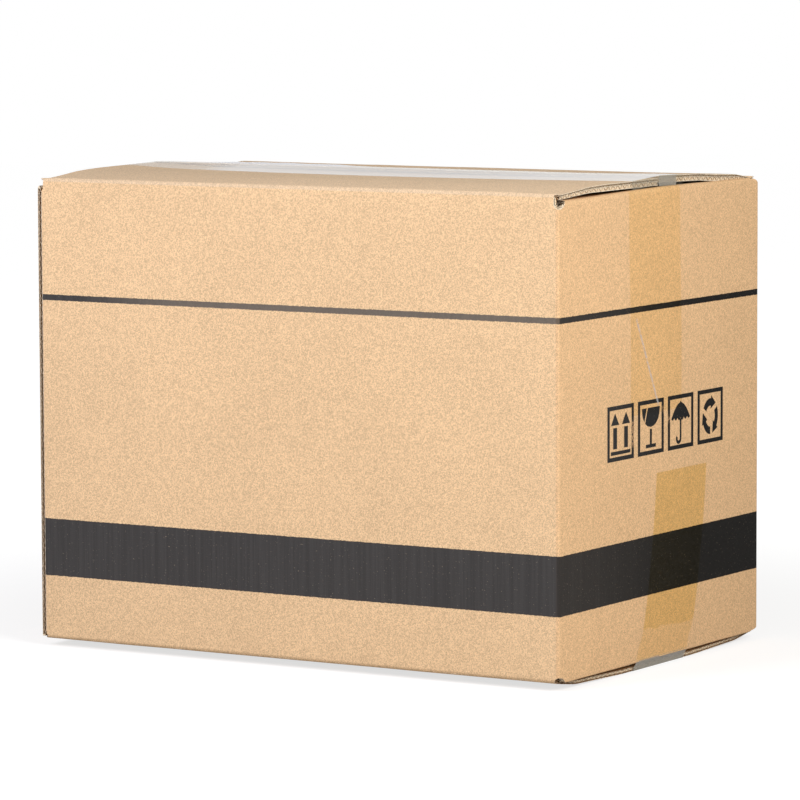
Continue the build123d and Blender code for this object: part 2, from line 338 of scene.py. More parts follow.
def sharpen_rims(piece, angle=40):
    """Marks edges sharper than an angle, so that a cut edge isn't shaded round."""
    piece.data.set_sharp_from_angle(angle=math.radians(angle))


print("a grid of 3 by 4 points has", len(grid_quads(3, 4)), "quads")

# %% [markdown]
# ## Materials made of nodes
# Kraft paper is brown wood fibre: cloudy at the size of a coin, speckled at the size of a grain of sand,
# with a few dark flecks. Painting it from noise in Object coordinates keeps it at true scale on every
# piece. A few short helpers keep the node trees readable.

# %% Node helpers
def new_material(name):
    """An empty node material, its Principled shader and its Object coordinates."""
    material = bpy.data.materials.new(name)
    material.use_nodes = True
    tree = material.node_tree
    shader = tree.nodes["Principled BSDF"]
    coordinates = tree.nodes.new("ShaderNodeTexCoord").outputs["Object"]
    return material, tree, shader, coordinates


def node(tree, kind, inputs=(), **settings):
    """Adds a node with its settings. Inputs are (socket, value or output) pairs. Returns its first output."""
    made = tree.nodes.new("ShaderNode" + kind)
    for key, value in settings.items():
        setattr(made, key, value)
    for socket, value in inputs:
        if isinstance(value, bpy.types.NodeSocket):
            tree.links.new(value, made.inputs[socket])
        else:
            made.inputs[socket].default_value = value
    return made.outputs[0]


def calculate(tree, operation, first, second=0.0, third=0.0, clamp=False):
    """One Math node."""
    pairs = [(0, first), (1, second), (2, third)]
    return node(tree, "Math", pairs, operation=operation, use_clamp=clamp)


def times(tree, first, *others):
    """The product of several values, by one Math node after another."""
    for value in others:
        first = calculate(tree, "MULTIPLY", first, value)
    return first


def greatest(tree, first, *others):
    """The greatest of several values."""
    for value in others:
        first = calculate(tree, "MAXIMUM", first, value)
    return first


def axes(tree, where):
    """The x, y and z of a place."""
    split = tree.nodes.new("ShaderNodeSeparateXYZ")
    tree.links.new(where, split.inputs[0])
    return split.outputs


def speckle(tree, where, scale, detail=2.0, rough=0.5):
    """Noise between 0 and 1 at a number of cells per metre."""
    pairs = [("Vector", where), ("Scale", scale), ("Detail", detail), ("Roughness", rough)]
    return node(tree, "TexNoise", pairs)


def ramp(tree, value, low, high, from_value=0.0, to_value=1.0):
    """Smooth step of a value from low to high."""
    pairs = [("Value", value), ("From Min", low), ("From Max", high)]
    pairs += [("To Min", from_value), ("To Max", to_value)]
    return node(tree, "MapRange", pairs, interpolation_type="SMOOTHSTEP")


def between(tree, value, low, high, soft=0.0002):
    """1 where a value lies between low and high, with soft edges."""
    rise = ramp(tree, value, low - soft, low + soft)
    return times(tree, rise, ramp(tree, value, high - soft, high + soft, 1.0, 0.0))


def mix(tree, share, first, second, blend="MIX"):
    """Mixes two colours."""
    made = tree.nodes.new("ShaderNodeMix")
    made.data_type = "RGBA"
    made.blend_type = blend
    for socket, value in ((made.inputs[0], share), (made.inputs[6], first), (made.inputs[7], second)):
        if isinstance(value, bpy.types.NodeSocket):
            tree.links.new(value, socket)
        else:
            socket.default_value = value
    return made.outputs[2]


def tinted(tree, share, colour, factors):
    """A colour that is multiplied, by a share, with one factor for each channel."""
    return mix(tree, share, colour, mix(tree, 1.0, colour, (*factors, 1), "MULTIPLY"))


def srgb(red, green, blue):
    """An on-screen colour, 0 to 255, as linear light."""
    share = np.array([red, green, blue]) / 255
    linear = np.where(share <= 0.04045, share / 12.92, ((share + 0.055) / 1.055) ** 2.4)
    return (*[float(v) for v in linear], 1.0)


def stretched(tree, where, scale):
    """Coordinates stretched along the axes."""
    return node(tree, "Mapping", [("Vector", where), ("Scale", scale)])


def paper_colour(tree, where, base, contrast=1.0):
    """Kraft: a base colour times clouds, blotches and grain, with dark and pale flecks. Also gives the grain.

    Each layer is noise with a number of cells per metre, which swings the light by a share of it."""
    layers = []
    for density, detail, rough, edge, swing in ((14, 3, 0.5, 0.3, 0.020), (420, 3, 0.7, 0.3, 0.045),
                                                (1300, 2, 0.8, 0.32, 0.23)):
        pattern = speckle(tree, where, density, detail, rough)
        layers.append(ramp(tree, pattern, edge, 1 - edge, 1 - swing * contrast, 1 + swing * contrast))
    colour = mix(tree, 1.0, base, times(tree, *layers), "MULTIPLY")
    # A dark fleck is a spot in the middle of a cell, of the cell's own random size
    cells = tree.nodes.new("ShaderNodeTexVoronoi")
    tree.links.new(where, cells.inputs["Vector"])
    cells.inputs["Scale"].default_value = 210
    size = calculate(tree, "SUBTRACT", times(tree, cells.outputs["Color"], 0.16), 0.045)
    fleck = calculate(tree, "LESS_THAN", cells.outputs["Distance"], size)
    dark, light = [tuple(min(1, share * v) for v in base[:3]) + (1,) for share in (0.35, 1.35)]
    colour = mix(tree, times(tree, fleck, 0.5 * contrast), colour, dark)
    spots = speckle(tree, stretched(tree, where, (1, 1, 1.3)), 620, 2)
    pale = ramp(tree, spots, 0.66, 0.72, 0.0, 0.22 * contrast)
    return mix(tree, pale, colour, light), layers[-1]


def scratch(tree, across, height, start, end, half, soft):
    """1 near a line from start to end: close to it sideways, and between its ends along it.

    The distances along and beside the line are those from its start, times the two unit directions."""
    run = np.array(end) - np.array(start)
    size = float(np.hypot(*run))
    ahead = run / size
    distances = []
    for way in (ahead, (-ahead[1], ahead[0])):
        first = times(tree, calculate(tree, "SUBTRACT", across, start[0]), float(way[0]))
        second = times(tree, calculate(tree, "SUBTRACT", height, start[1]), float(way[1]))
        distances.append(calculate(tree, "ADD", first, second))
    along, beside = distances
    near = ramp(tree, calculate(tree, "ABSOLUTE", beside), half, half + soft, 1.0, 0.0)
    return times(tree, near, between(tree, along, 0.0, size, 0.002))


def surface(tree, shader, colour, roughness, specular):
    """Gives a shader its colour, its roughness and how strongly it mirrors."""
    tree.links.new(colour, shader.inputs["Base Color"])
    tree.links.new(roughness, shader.inputs["Roughness"])
    shader.inputs["Specular IOR Level"].default_value = specular


def to_surface(tree, share, first, second, output="Material Output"):
    """Mixes two shaders by a share and links the mix to an output's surface."""
    blend = tree.nodes.new("ShaderNodeMixShader")
    for socket, value in zip(blend.inputs, (share, first, second)):
        tree.links.new(value, socket)
    tree.links.new(blend.outputs[0], tree.nodes[output].inputs["Surface"])


def add_bump(tree, shader, height, distance, strength=1.0):
    """Bump from a height between 0 and 1, in metres of distance."""
    pairs = [("Height", height), ("Distance", distance), ("Strength", strength)]
    tree.links.new(node(tree, "Bump", pairs), shader.inputs["Normal"])


print("kraft in linear light", [round(v, 3) for v in srgb(240, 204, 160)])

# %% [markdown]
# ## The printed outer paper
# The printer laid two stripes of ink round the flat board before it was folded, so they sit at one height
# on all four walls: a thin stripe near the top and a wide band near the bottom. They could be strips of
# their own, but ink has no thickness to see, so it is painted into the paper by height. Flexible plates
# leave pinholes and faint upright streaks in a solid area. Where clear tape is stuck down, its glue wets
# the paper, which turns darker and yellower, so those places are painted in by where the tape lies.

# %% Places of the print and of the tape's legs, in metres
stripe, band = (0.2287, 0.2325), (0.0472, 0.0849)
upper_leg, upper_leg_end = (-0.0411, 0.0259), (0.1632, 0.1638)
lower_leg, lower_leg_end = (-0.0335, 0.0335), (0.1240, 0.1246)
lean_points = ((0.0, 0.0), (0.0063, 0.0), (0.025, 0.0088), (0.085, 0.0218), (0.125, 0.0266))
print("band and stripe", [round((high - low) / mm, 1) for low, high in (band, stripe)], "mm high")


# %% Ink
def print_share(tree, where, z):
    """1 on the stripe and on the band, whose edges waver by a fifth of a millimetre."""
    ragged = ramp(tree, speckle(tree, where, 700, 2), 0.2, 0.8, -0.00018, 0.00018)
    height = calculate(tree, "ADD", z, ragged)
    return greatest(tree, *[between(tree, height, *place, 0.00012) for place in (stripe, band)])


def ink_colour(tree, where, base):
    """Ink with pinholes that show paper, and faint streaks up the sheet."""
    x, y, z = axes(tree, where)
    streaks = speckle(tree, stretched(tree, where, (1, 1, 0.02)), 420, 3, 0.7)
    ink = mix(tree, 1.0, srgb(73, 71, 70), ramp(tree, streaks, 0.3, 0.75, 0.9, 1.16), "MULTIPLY")
    # Painted shade: on the end walls the ink is painted darker, more so towards the back
    on_end = ramp(tree, calculate(tree, "ABSOLUTE", x), 0.1935, 0.196)
    thick = times(tree, on_end, ramp(tree, y, -0.14, 0.06, 0.40, 1.0))
    ink = mix(tree, thick, ink, (0.0140, 0.0138, 0.0134, 1))
    pinholes = ramp(tree, speckle(tree, where, 1100, 1, 0.6), 0.72, 0.75, 0.0, 0.30)
    # The thin stripe took less ink along the front
    on_front = ramp(tree, y, -0.1318, -0.1306, 1.0, 0.0)
    thin = times(tree, ramp(tree, x, -0.17, -0.08, 0.0, 0.18), ramp(tree, z, 0.2, 0.21), on_front)
    return mix(tree, greatest(tree, pinholes, thin), ink, mix(tree, 0.5, base, (0.5, 0.5, 0.47, 1)))


# %% Outer paper with its print and the tape's wet patches
def leaning(tree, x, z):
    """How far to the back the right end's lower leg has leaned at a height, read off a curve."""
    top, most = lean_points[-1]
    spots = [(height / top, shift / most) for height, shift in lean_points]
    curve = tree.nodes.new("ShaderNodeFloatCurve")
    points = curve.mapping.curves[0].points
    points[0].location = spots[0]
    points[-1].location = spots[-1]
    for spot in spots[1:-1]:
        points.new(*spot)
    curve.mapping.update()
    tree.links.new(calculate(tree, "DIVIDE", z, top), curve.inputs["Value"])
    return times(tree, curve.outputs[0], most, calculate(tree, "GREATER_THAN", x, 0.0))


def outer_paper_material():
    """The outer liner: kraft, print by height, and the wet patches under the tape by place."""
    material, tree, shader, where = new_material("printed outer liner")
    x, y, z = axes(tree, where)
    colour, grain = paper_colour(tree, where, srgb(240, 204, 160))
    colour = mix(tree, print_share(tree, where, z), colour, ink_colour(tree, where, colour))
    on_end = ramp(tree, calculate(tree, "ABSOLUTE", x), 0.1935, 0.1945)
    # Painted shade: the end walls are painted a little darker and warmer than the front, though it is the
    # same paper
    colour = tinted(tree, on_end, colour, (0.97, 0.91, 0.86))
    # The upper leg drifts a little forwards near the top, at both ends
    drifted = calculate(tree, "ADD", y, ramp(tree, z, 0.200, 0.290, 0.0, 0.0022))
    upper = times(tree, between(tree, drifted, *upper_leg), ramp(tree, z, *upper_leg_end))
    # The lower leg's middle line leans, so its lean is taken off y first
    straight = calculate(tree, "SUBTRACT", y, leaning(tree, x, z))
    lower = times(tree, between(tree, straight, *lower_leg), ramp(tree, z, *lower_leg_end, 1.0, 0.0))
    colour = tinted(tree, times(tree, greatest(tree, upper, lower), on_end), colour, (0.98, 0.95, 0.84))
    # From 25 mm up the glue wetted the paper more
    waver = ramp(tree, speckle(tree, where, 60, 2), 0.2, 0.8, -0.0016, 0.0016)
    wet = ramp(tree, calculate(tree, "ADD", z, waver), 0.0246, 0.0258)
    colour = tinted(tree, times(tree, lower, wet, on_end), colour, (0.94, 0.91, 0.74))
    # The top is painted cooler, a painted sheen of the white room seen along it, and its tape darkens it
    # again
    colour = tinted(tree, ramp(tree, z, 0.3060, 0.3068), colour, (0.90, 0.96, 1.08))
    on_top = ramp(tree, z, 0.3055, 0.306)
    under_tape = times(tree, between(tree, y, -front_reach * mm, back_reach * mm), on_top)
    colour = tinted(tree, under_tape, colour, (0.93, 0.92, 0.88))
    surface(tree, shader, colour, ramp(tree, grain, 0.9, 1.1, 0.74, 0.62), 0.04)
    # The fine flutes show through the paper as a faint washboard
    washboard = calculate(tree, "SINE", times(tree, z, 2 * math.pi / (fine_pitch * mm)))
    add_bump(tree, shader, calculate(tree, "ADD", times(tree, washboard, 0.06), grain), 0.00012, 0.7)
    return material


outer_liner_paper = outer_paper_material()
print("outer liner nodes", len(outer_liner_paper.node_tree.nodes))

# %% [markdown]
# ## The other papers
# The inner liner and the fluted medium are made of recycled fibre, browner and duller than the outer paper.
# A cut edge is paler and ragged, because the knife lays bare fibres that no ink or dirt has reached.

# %% Inner liner, medium and cut edges
def plain_paper(name, base, contrast, roughness):
    """A kraft paper with no print, whose grain varies its roughness a little."""
    swing = 0.06
    material, tree, shader, where = new_material(name)
    colour, grain = paper_colour(tree, where, base, contrast)
    surface(tree, shader, colour, ramp(tree, grain, 0.88, 1.12, roughness + swing, roughness - swing), 0.3)
    add_bump(tree, shader, grain, 0.00015, 0.7)
    return material


inner_liner_paper = plain_paper("inner liner", srgb(204, 166, 122), 1.1, 0.76)
medium_fibre = plain_paper("fluted medium", srgb(186, 156, 120), 1.3, 0.84)
middle_liner_paper = plain_paper("middle liner", srgb(196, 164, 126), 1.2, 0.8)
cut_edge = plain_paper("cut edge", srgb(250, 236, 212), 1.4, 0.85)
medium_edge = plain_paper("cut medium", srgb(240, 222, 194), 1.6, 0.88)
print("papers", [m.name for m in bpy.data.materials])

# %% [markdown]
# ## The papers of the board
# Liners are plain sheets at one depth. A medium is a wave in depth: the fine one is about 3.4 mm from
# crest to crest and the coarse one about 6 mm. The flutes run along the creases, so the wave is a function
# of the distance along the fold line. They could be a picture on a solid block, but a real wave gives the
# dark openings at the cut ends from every side. At a crease the scoring wheel has crushed the waves, so
# there the space between the liners is filled with flat medium.

# %% Liners and media as depths
liners = {
    "outer_liner": (0.0, outer_paper),
    "middle_liner": (outer_paper + fine_height, outer_paper + fine_height + middle_paper),
    "inner_liner": (board - inner_paper, board),
}
crushed_zones = ((outer_paper, outer_paper + fine_height), (liners["middle_liner"][1], board - inner_paper))
Medium = namedtuple("Medium", "top height pitch")
media = [Medium(outer_paper, fine_height, fine_pitch),
         Medium(board - inner_paper - coarse_height, coarse_height, coarse_pitch)]


def even(near, far):
    """A liner's depths, the same all over."""
    return lambda q: (np.full(q.shape, near), np.full(q.shape, far))


def waving(medium, start):
    """A medium's depths: a cosine wave along the line, between its two liners and one paper thick."""
    def depths(q):
        wave = 0.5 - 0.5 * np.cos((q - start) * 2 * math.pi / medium.pitch)
        outer = medium.top + wave * (medium.height - medium_paper)
        return outer, outer + medium_paper
    return depths


print("media", [f"{medium.height} mm high every {medium.pitch} mm" for medium in media])

# %% [markdown]
# ## The walls
# A wall's grid has columns along the wall and rows up the fold line. The round slots at its corners could
# be cut with a boolean, but it is cleaner to move the rows: each column runs only from its lowest to its
# highest place, and near a corner those two places follow the slot's circle.

# %% Grids of the walls
tab_shift = tab_corner - side_slot / 2


def slot_size(side):
    """Radius of the slots that cut into a side's wall."""
    return side_slot if side in ("front", "back") else end_slot


def wall_columns(side, flat_step):
    """Places along a wall: even on the flat, close together round its corners and in its slots."""
    place, slot, past = sides[side], slot_size(side), 0.02
    values = []
    for end, rolled, sign in ((place.low, place.low_roll, -1), (place.high, place.high_roll, 1)):
        final = end - sign * corner_roll + sign * corner_roll * math.pi / 4 if rolled else end
        values.append(final - sign * np.linspace(0, slot, 15 if slot < 5 else 22))
        values.append([final - sign * (slot + past)])
    if side == "front":
        values.append(tab_shift + np.linspace(-side_slot, side_slot, 25))
        values.append([tab_shift - side_slot - past, tab_shift + side_slot + past])
    low, high = min(map(min, values)), max(map(max, values))
    flat = np.linspace(low, high, max(2, int((high - low) / flat_step)))
    return np.unique(np.clip(np.round(np.concatenate([*values, flat]), 4), low, high))


def slot_distances(side, u):
    """Distance of each place on a wall from the middle of the nearer slot at its two ends."""
    place = sides[side]
    shorten = corner_roll * (1 - math.pi / 4)
    high_end = place.high - shorten if place.high_roll else place.high + raw_edge_trim
    low_end = place.low + shorten if place.low_roll else place.low
    low_distance = np.abs(u - tab_shift) if side == "front" else u - low_end
    return np.minimum(np.abs(high_end - u), low_distance)


def place_at(side, height):
    """The place on a wall's fold line at a height."""
    fold = folds[side]
    on_wall = (fold.along >= fold.mitres[0]) & (fold.along <= fold.mitres[1])
    return np.interp(height, fold.height[on_wall], fold.along[on_wall])


def wall_limits(side, u):
    """Lowest and highest place on the fold line for each column of a wall, cut out by the round slots."""
    fold, size, uncut = folds[side], slot_size(side), 1e6
    distance = np.clip(slot_distances(side, u), 0, size)
    dip = size - np.sqrt(np.maximum(size ** 2 - distance ** 2, 0))
    inside = distance < size - 0.005
    high_cut = np.where(inside, slot_top + dip, uncut)
    low_cut = np.where(inside, slot_bottom - dip, -uncut)
    # The far right corner is squashed, so its slots have closed and leave only a rounded corner
    closed = inside & ((side == "right") & (u > 0) | (side == "back") & (u < 0))
    rounding = 5.0 * (1 - np.sqrt(np.clip(1 - (1 - distance / size) ** 2, 0, 1)))
    high_cut = np.where(closed, end_top - 0.5 - rounding, high_cut)
    low_cut = np.where(closed, 6.2 + 0.5 * rounding, low_cut)
    if side == "left":
        # The raw edge by the glue tab has no slot: the wall is only trimmed at its creases
        raw = u > sides["left"].high - end_slot
        high_cut = np.where(raw, end_top - 0.6, high_cut)
        low_cut = np.where(raw, 6.4, low_cut)
    q_high = np.minimum(place_at(side, high_cut), fold.mitres[1])
    q_low = np.maximum(place_at(side, low_cut), fold.mitres[0])
    q_high = np.where(high_cut == uncut, fold.mitres[1], q_high)
    q_low = np.where(low_cut == -uncut, fold.mitres[0], q_low)
    return q_low, q_high


def wall_sheet(side, columns, rows, depths):
    """One paper of a wall: a grid of places, cut off at the slots, at an outer and an inner depth."""
    low, high = wall_limits(side, columns)
    q = np.clip(rows[:, None], low[None, :], high[None, :])
    near, far = depths(q)
    u = np.broadcast_to(columns, q.shape)
    return sheet_arrays(lay(side, u, q, near), lay(side, u, q, far))


def liner_rows(fold, low, high, step):
    """Rows of a liner: even on the flat, close together where the line is rolled."""
    rolled = fold.along[fold.depth_limit < board + 0.5][::2]
    flat = np.linspace(low, high, max(2, int((high - low) / step)))
    return np.unique(np.clip(np.round(np.concatenate([rolled, flat]), 4), low, high))


def flute_rows(low, high, pitch, samples):
    """Rows of a medium: a few for each wave."""
    return np.linspace(low, high, int((high - low) / pitch * samples) + 1)


# %% All four walls
wall_crush = 2.0
for side in sides:
    fold = folds[side]
    low, high = fold.mitres
    rows = liner_rows(fold, low, high, 12)
    fine_columns, coarse_columns = wall_columns(side, 9), wall_columns(side, 60)
    for paper, material in (("outer_liner", outer_liner_paper), ("inner_liner", inner_liner_paper)):
        part = wall_sheet(side, fine_columns, rows, even(*liners[paper]))
        piece = piece_from(f"{side}_wall_{paper}_paper", [part], [material, cut_edge])
        sharpen_rims(piece)
        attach(piece, "carton")
        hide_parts(f"{side}_wall_{paper}")
    parts = [wall_sheet(side, coarse_columns, liner_rows(fold, low, high, 60), even(*liners["middle_liner"]))]
    for medium in media:
        rows = flute_rows(low + wall_crush, high - wall_crush, medium.pitch, 6)
        parts.append(wall_sheet(side, coarse_columns, rows, waving(medium, low)))
    for zone in crushed_zones:
        for start in (low, high - wall_crush):
            rows = np.linspace(start, start + wall_crush, 5)
            parts.append(wall_sheet(side, coarse_columns, rows, even(*zone)))
    piece = piece_from(f"{side}_wall_flutes_and_middle", parts, [medium_fibre, medium_edge])
    sharpen_rims(piece, 60)
    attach(piece, "carton")
    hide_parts(f"{side}_wall_core")
    print(side, "wall", len(piece.data.polygons), "faces of flutes")

# %% [markdown]
# ## The flaps
# A flap is the same board, from its crease to its edge, and it is straight at its ends, where the slots
# were cut. The two long top flaps carry the tape. Each medium's wave starts past the crushed crease. A
# knife leaves the ends a little uneven, so each paper ends a shade nearer or further, and the bottom ends
# are torn.

# %% Grids of the flaps
def flap_ends(side):
    """Half the length of a side's flaps."""
    return side_flap_half if side in ("front", "back") else end_flap_half


def flap_columns(half, count):
    """Places along a flap: even, with one more close to each end, so that only the very end is uneven."""
    last = 0.5
    return np.unique(np.concatenate([np.linspace(-half, half, count), [-half + last, half - last]]))


def flap_sheet(side, columns, rows, depths, ends, seed, size):
    """One paper of a flap, between an outer and an inner depth. The last columns are uneven by ends."""
    near, far = depths(rows)
    u = np.broadcast_to(columns, (len(rows), len(columns))).copy()
    q = np.broadcast_to(rows[:, None], u.shape)
    for column, sign in ((0, -1), (-1, 1)):
        u[:, column] += sign * ends * np.minimum(noise(rows, seed=seed + column + 1, size=size) - 1, 0) * 0.5
    near, far = near[:, None], far[:, None]
    return sheet_arrays(lay(side, u, q, near, True), lay(side, u, q, far, True))


def crushed_medium(side, rows):
    """The coarse medium pressed flat by the knife: a thin plate that closes it just inside each end."""
    parts = []
    depth = np.array([liners["middle_liner"][1], liners["inner_liner"][0]])
    for sign in (1, -1):
        ends = [np.array([[sign * (flap_ends(side) - back)]]) for back in (0.75, 1.2)]
        layers = [lay(side, end, rows[:, None], depth[None, :], True) for end in ends]
        parts.append(sheet_arrays(*layers, flip=(sign < 0)))
        parts[-1][2][:] = True
    return parts


# %% All eight flaps
crease_crush, crush_inset = 6.0, 2.5
for number, side in enumerate(sides):
    fold = folds[side]
    half = flap_ends(side)
    long_side = side in ("front", "back")
    for level, low, high in (("bottom", 0.0, fold.mitres[0]), ("top", fold.mitres[1], fold.along[-1])):
        on_top = level == "top"
        body = f"{side}_top_flap" if on_top else "carton"
        seen, torn = long_side and on_top, long_side and not on_top
        columns, few = [flap_columns(half, count) for count in ((61, 21) if seen else (13, 9))]
        rows = liner_rows(fold, low, high, 4 if seen else 1.2 if torn else 12)
        ragged, grain_size = (1.7, 3.0) if torn else (0.3, 9)
        for paper, material in (("outer_liner", outer_liner_paper), ("middle_liner", middle_liner_paper),
                                ("inner_liner", inner_liner_paper)):
            grid = few if paper == "middle_liner" else columns
            seed = 11 * number + len(paper)
            part = flap_sheet(side, grid, rows, even(*liners[paper]), ragged, seed, grain_size)
            piece = piece_from(f"{side}_{level}_flap_{paper}_paper", [part], [material, cut_edge])
            sharpen_rims(piece)
            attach(piece, body)
            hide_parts(f"{side}_{level}_flap_{paper}")
        start, low_wave, high_wave = (low, low + crease_crush, high) if on_top else (
            high - crease_crush, low, high - crease_crush)
        parts = []
        for medium in media:
            steps = flute_rows(low_wave, high_wave, medium.pitch, 8)
            parts.append(flap_sheet(side, few, steps, waving(medium, low_wave), ragged + 0.2, 11 * number + 5,
                                    grain_size))
        parts.extend(crushed_medium(side, flute_rows(low_wave, high_wave, coarse_pitch, 4)))
        recessed = np.clip(few, -half + crush_inset, half - crush_inset)
        steps = np.linspace(start, start + crease_crush, 9)
        parts.extend(flap_sheet(side, recessed, steps, even(*zone), 0.3, 3, 9) for zone in crushed_zones)
        piece = piece_from(f"{side}_{level}_flap_flutes_paper", parts, [medium_fibre, medium_edge])
        sharpen_rims(piece, 60)
        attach(piece, body)
        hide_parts(f"{side}_{level}_flap_flutes")
    print(side, "flaps", round(2 * half, 1), "mm long")

# %% [markdown]
# ## The glue tab
# The front wall runs on past its left corner as a tab, which is glued behind the left wall. Its top and
# bottom are cut slanting, so that it never fouls the flap above.

# %% Glue tab
tab_width, tab_shortfall, tab_taper = 35, 12, 8
tab_start = tab_corner + corner_roll * (1 - math.pi / 4)


def tab_sheet(columns, rows, depths):
    """One paper of the tab, between its slanting cuts: heights, turned into places on the line."""
    taper = tab_taper * np.clip(tab_start - columns, 0, tab_width) / tab_width
    low = place_at("front", side_bottom + tab_shortfall + taper)
    high = place_at("front", side_top - tab_shortfall - taper)
    q = np.clip(rows[:, None], low[None, :], high[None, :])
    near, far = depths(q)
    u = np.broadcast_to(columns, q.shape)
    return sheet_arrays(lay("front", u, q, near), lay("front", u, q, far), flip=True)


columns = tab_start - np.concatenate([np.linspace(0, 4, 9), np.linspace(5, tab_width, 5)])
low, high = folds["front"].mitres
rows = liner_rows(folds["front"], low, high, 20)
parts = [tab_sheet(columns, rows, even(*liners[paper])) for paper in liners]
for medium in media:
    parts.append(tab_sheet(columns, flute_rows(low, high, medium.pitch, 6), waving(medium, low)))
glue_tab = piece_from("glue_tab_board", parts, [inner_liner_paper, cut_edge])
sharpen_rims(glue_tab, 60)
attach(glue_tab, "carton")
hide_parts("glue_tab")

# %% [markdown]
# ## Handling marks on the end walls
# Four common handling marks in frames stand in a row on each end wall: this way up, a glass, an umbrella
# and a ring of three arrows. Each is drawn from ribbons, a ribbon being the surface between a left line
# and a right line, so that bars, rings, bowls and hooks are all one kind of grid.

# %% Ribbons for flat ink shapes
def ribbon(left, right):
    """The strip of quads between two lines of the same number of points."""
    return np.stack([np.array(left, float), np.array(right, float)])


def bar(across_low, across_high, low, high):
    """A rectangle."""
    return ribbon([(across_low, low), (across_high, low)], [(across_low, high), (across_high, high)])


def stroke(line, thick):
    """A line of even thickness: each point is moved half the thickness to both sides of its tangent."""
    line = np.array(line, float)
    tangent = np.gradient(line, axis=0)
    tangent = tangent / np.linalg.norm(tangent, axis=1)[:, None]
    normal = np.stack([tangent[:, 1], -tangent[:, 0]], axis=1) * thick / 2
    return ribbon(line - normal, line + normal)


def frame_mark(low, high, bottom, top, thick):
    """A rectangular frame: the ribbon between its outer and its inner rectangle."""
    outer = np.array([(low, bottom), (high, bottom), (high, top), (low, top), (low, bottom)])
    wide, tall = thick
    inner = np.array([(low + wide, bottom + tall), (high - wide, bottom + tall),
                      (high - wide, top - tall), (low + wide, top - tall), (low + wide, bottom + tall)])
    return ribbon(outer, inner)


def this_way_up(middle, bottom):
    """Two arrows on a bar."""
    shapes = [bar(middle - 12.7, middle + 12.7, bottom + 4.0, bottom + 6.3)]
    for shift in (-7.2, 6.9):
        centre = middle + shift
        shapes.append(bar(centre - 2.5, centre + 2.5, bottom + 7.8, bottom + 21.2))
        shapes.append(ribbon([(centre - 5.3, bottom + 22.8), (centre, bottom + 30.4)],
                             [(centre + 5.3, bottom + 22.8), (centre, bottom + 30.4)]))
    return shapes


def glass(middle, bottom):
    """A cracked wine glass: the bowl lies between the rim and a curve, in two halves with a slanting gap."""
    share = np.linspace(0, 1, 25)
    rim = bottom + 30.0
    half = 11.8 * np.sqrt(np.clip(1 - share ** 2.2, 0, 1))
    height = rim - 12.4 * share
    crack = middle - 5.4 - 4.5 * share
    right = ribbon(np.stack([np.clip(crack + 1.3, middle - half, middle + half), height], 1),
                   np.stack([middle + half, height], 1))
    left = ribbon(np.stack([middle - half, height], 1),
                  np.stack([np.maximum(crack, middle - half), height], 1))
    return [right, left, bar(middle - 1.4, middle + 1.4, bottom + 6.6, bottom + 16.4),
            bar(middle - 6.6, middle + 6.6, bottom + 4.4, bottom + 6.7)]


def umbrella(middle, bottom):
    """An open umbrella: the canopy lies between an arc and a scalloped hem, over a shaft with a hook."""
    share = np.linspace(-1, 1, 61)
    dome = bottom + 19.2 + 10.6 * (1 - np.abs(share) ** 1.9)
    dome = dome + 1.3 * np.exp(-(share / 0.05) ** 2)
    hem = bottom + 19.2 - 1.9 * np.abs(np.sin(share * 3 * math.pi)) * (1 - 0.4 * np.abs(share)) + 0.9
    hem = np.minimum(hem, dome)
    across = middle + 13.0 * share
    turn = np.linspace(0, math.pi * 1.15, 17)
    hook = np.stack([middle - 2.6 + 2.6 * np.cos(turn), bottom + 6.8 - 2.5 * np.sin(turn)], 1)
    shaft = np.array([(middle, bottom + 19.5), (middle, bottom + 13.0), (middle, bottom + 8.0)])
    return [ribbon(np.stack([across, dome], 1), np.stack([across, hem], 1)),
            stroke(np.concatenate([shaft, hook]), 2.3)]


def round_arrows(middle, bottom):
    """Three arrows round a ring, a little taller than wide: each an arc ribbon that ends in a triangle."""
    shapes = []
    centre, stretch = np.array([middle, bottom + 17.2]), np.array([1.0, 1.1])
    for third in range(3):
        start = math.radians(150 - 120 * third)
        turn = start - np.linspace(0, math.radians(66), 13)
        ring = np.stack([np.cos(turn), np.sin(turn)], 1)
        shapes.append(ribbon(centre + ring * 10.6 * stretch, centre + ring * 6.2 * stretch))
        end = turn[-1]
        out = np.array([math.cos(end), math.sin(end)])
        ahead = np.array([math.sin(end), -math.cos(end)])
        tip = centre + (out * 8.2 + ahead * 6.6) * stretch
        shapes.append(ribbon([centre + out * 12.4 * stretch, tip], [centre + out * 4.4 * stretch, tip]))
    return shapes


mark_bottom, mark_top, mark_stroke = 137.0, 172.0, (3.1, 2.7)
mark_places = [(-71.5, -37.2), (-32.0, 2.3), (7.6, 42.1), (47.8, 82.6)]
drawings = [this_way_up, glass, umbrella, round_arrows]
shapes = []
for (low, high), drawing in zip(mark_places, drawings):
    shapes.append(frame_mark(low, high, mark_bottom, mark_top, mark_stroke))
    shapes.extend(drawing((low + high) / 2, mark_bottom))
print("handling marks", len(shapes), "ribbons")

# %% [markdown]
# The ink lies a hundredth of a millimetre proud of the paper, so that its edges stay crisp. It has the same
# pinholes as the printed stripes, and on the right wall it is worn off in three small places.

# %% Ink on the end walls
worn_places = [((-0.0392, 0.1605), (-0.0380, 0.1445), 0.0011), ((0.0016, 0.1660), (0.0022, 0.1630), 0.0009),
               ((0.0082, 0.1590), (0.0090, 0.1560), 0.0009)]
ink_proud = 0.012


